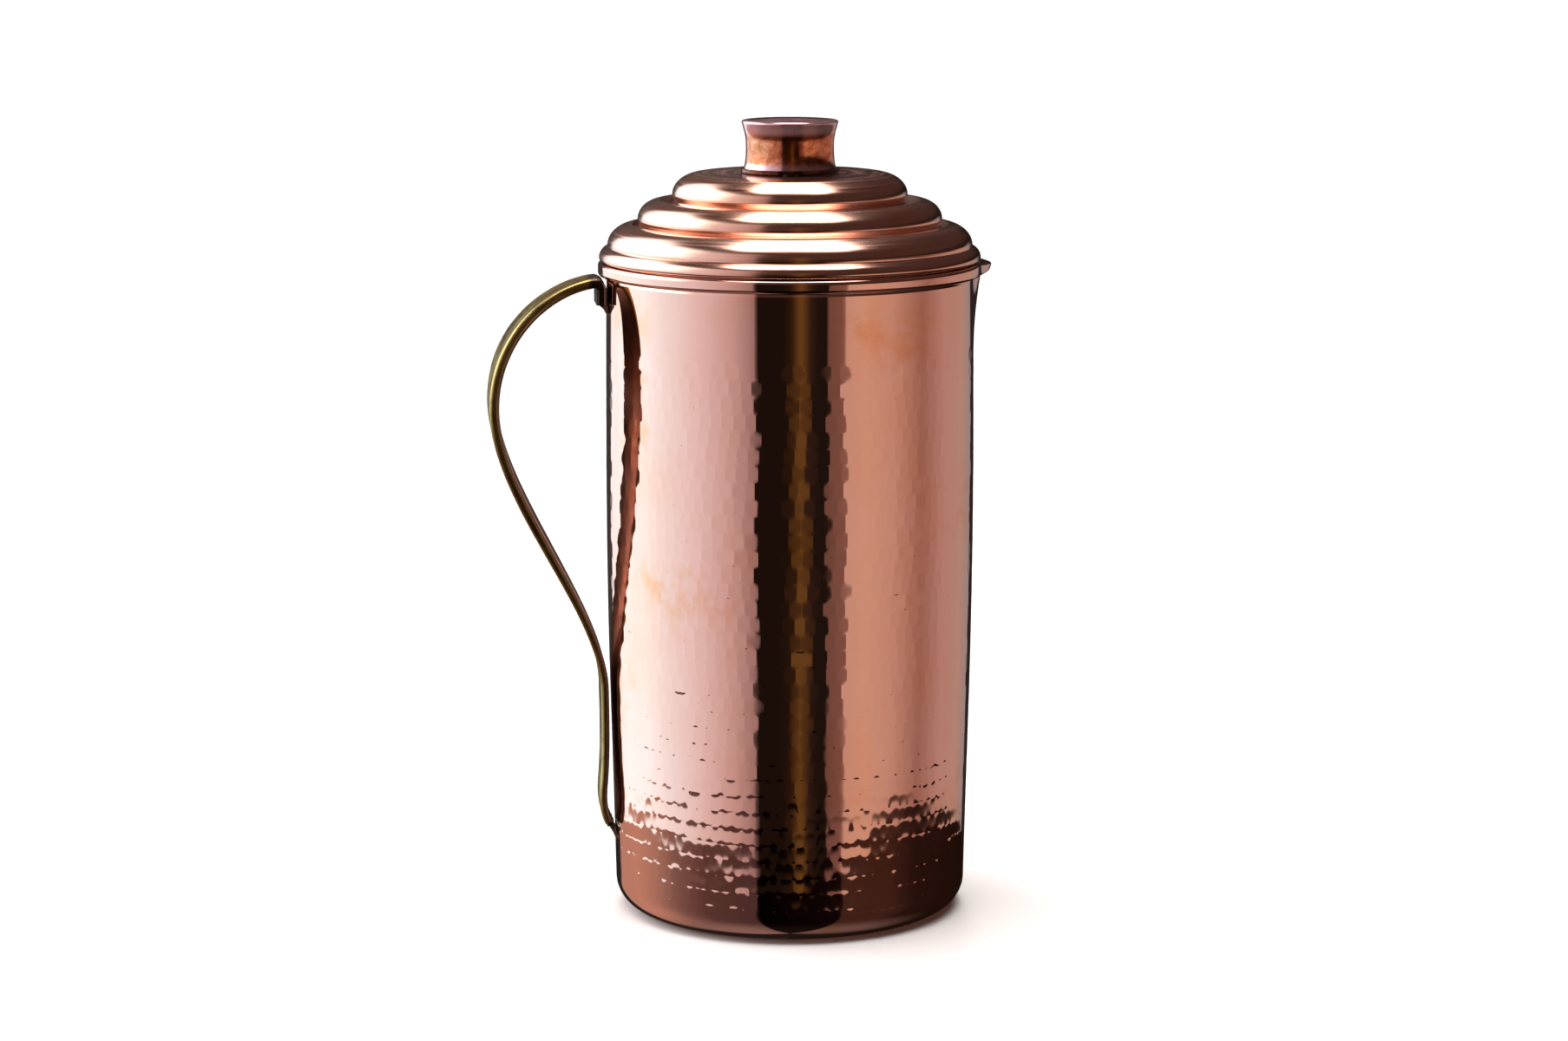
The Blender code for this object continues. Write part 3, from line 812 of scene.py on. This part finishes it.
def soft_world():
    """Soft boxes and their dim image in a dark table, as light that comes in from far away.

    Azimuths run from the front towards +X, heights from the horizon, both in degrees.
    """
    world = bpy.data.worlds.new("studio")
    bpy.context.scene.world = world
    world.use_nodes = True
    graph = Graph(world.node_tree)
    place = graph.new("ShaderNodeTexCoord").outputs["Generated"]
    turn = graph.new("ShaderNodeMapping")
    turn.inputs["Rotation"].default_value = (0, 0, -CAMERA_TURN)
    graph.link(place, turn.inputs["Vector"])
    aside, away, up = graph.split(turn.outputs["Vector"])
    around = graph.math("ARCTAN2", aside, graph.math("MULTIPLY", away, -1.0))
    around = graph.math("ADD", graph.math("DIVIDE", around, TURN), 0.5)
    height = graph.math("MULTIPLY", graph.math("ARCSINE", up), 180 / math.pi)
    height = graph.math("SUBTRACT", height, graph.math("MULTIPLY", away, BACK_HIGHER))
    total = DARKEST
    for heights, *stops in SOFT_BANDS:
        ramp = graph.ramp(around, *[(0.5 + azimuth / 360, colour) for azimuth, colour in stops])
        total = graph.vector("MULTIPLY_ADD", ramp, graph.spread(graph.band(height, *heights)), total)
    flat_up = graph.math("MAXIMUM", up, 0.02)
    depth = graph.math("DIVIDE", away, flat_up)
    narrowed = graph.math("MULTIPLY", graph.math("MAXIMUM", depth, NARROWS_FROM), OVERHEAD_NARROWS)
    across = graph.math("DIVIDE", aside, flat_up)
    across = graph.math("DIVIDE", across, graph.math("EXPONENT", narrowed))
    share = graph.band(across, *OVERHEAD_ACROSS)
    share = graph.math("MULTIPLY", share, graph.band(depth, *OVERHEAD_AWAY))
    share = graph.math("MULTIPLY", share, graph.step(up, 0.0, 0.05))
    total = graph.vector("MULTIPLY_ADD", graph.spread(share), OVERHEAD, total)
    background = world.node_tree.nodes["Background"]
    graph.link(total, background.inputs["Color"])
    background.inputs["Strength"].default_value = WORLD_STRENGTH


def studio():
    """A pale floor and backdrop that reflections don't show, and one soft lamp for their shading."""
    floor_material = bpy.data.materials.new("pale_floor")
    floor_material.use_nodes = True
    shader = floor_material.node_tree.nodes["Principled BSDF"]
    shader.inputs["Base Color"].default_value = FLOOR_COLOUR
    shader.inputs["Roughness"].default_value = 0.45
    shader.inputs["Specular IOR Level"].default_value = 0.25
    bpy.ops.mesh.primitive_plane_add(size=FLOOR_SIZE, location=(0, 0, -FLOOR_DROP))
    floor = bpy.context.object
    floor.name = "floor"
    floor.data.materials.append(floor_material)
    floor.visible_glossy = False
    lamp = bpy.data.objects.new("soft_light", bpy.data.lights.new("soft_light", "AREA"))
    lamp.data.size = LAMP_SIZE
    lamp.data.energy = LAMP_POWER
    lamp.location = LAMP_PLACE
    lamp.rotation_euler = LAMP_TURN
    lamp.visible_glossy = False
    bpy.context.scene.collection.objects.link(lamp)
    dome_material = bpy.data.materials.new("pale_backdrop")
    dome_material.use_nodes = True
    nodes = dome_material.node_tree.nodes
    glow = nodes.new("ShaderNodeEmission")
    glow.inputs["Color"].default_value = DOME_COLOUR
    dome_material.node_tree.links.new(glow.outputs[0], nodes["Material Output"].inputs["Surface"])
    bpy.ops.mesh.primitive_uv_sphere_add(radius=DOME_RADIUS, segments=64, ring_count=32)
    dome = bpy.context.object
    dome.name = "backdrop"
    dome.data.materials.append(dome_material)
    for ray in ("diffuse", "glossy", "transmission", "volume_scatter", "shadow"):
        setattr(dome, f"visible_{ray}", False)


def camera():
    data = bpy.data.cameras.new("camera")
    data.lens = CAMERA_LENS
    data.sensor_width = 36
    data.clip_start = 0.01
    seat = bpy.data.objects.new("camera", data)
    bpy.context.scene.collection.objects.link(seat)
    turn = CAMERA_TURN
    aside, back = CAMERA_ASIDE * MM, CAMERA_DISTANCE * MM
    seat.location = (
        math.sin(turn) * back + math.cos(turn) * aside,
        -math.cos(turn) * back + math.sin(turn) * aside,
        CAMERA_HEIGHT * MM,
    )
    seat.rotation_euler = (math.pi / 2 - CAMERA_PITCH, 0, turn)
    bpy.context.scene.camera = seat
    bpy.context.scene.view_settings.view_transform = "Standard"


# ---------------------------------------------------------------- all of it


def repaint(node, material):
    """A CAD node keeps its shape and gets a finished material."""
    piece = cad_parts[node]
    piece.data.materials.clear()
    piece.data.materials.append(material)


def main():
    camera()
    soft_world()
    studio()
    copper, spun, tarnished = hammered_copper(), spun_copper(), tarnished_copper()
    brass = aged_brass()
    braze = plain_metal("braze_metal", (0.72, 0.62, 0.44), 0.3)
    steel = plain_metal("zinc_steel", (0.62, 0.61, 0.58), 0.3)
    vessel_wall(copper)
    base_dish(copper)
    # shaded_brass is painted shade for the strap's faces towards the jug
    handle_strap(brass, plain_metal("shaded_brass", (0.30, 0.235, 0.20), 0.35))
    lid_dome(spun)
    lid_collar(spun)
    knob_shell(tarnished)
    knob_cap(tarnished)
    repaint("rim_wire", copper)
    repaint("lid_edge_wire", spun)
    repaint("knob_foot", tarnished)
    for node in ("base_braze", "collar_braze", "handle_upper_braze", "handle_lower_braze"):
        repaint(node, braze)
    for node in ("knob_stud", "stud_nut"):
        repaint(node, steel)
    repaint("stud_washer", brass)


main()
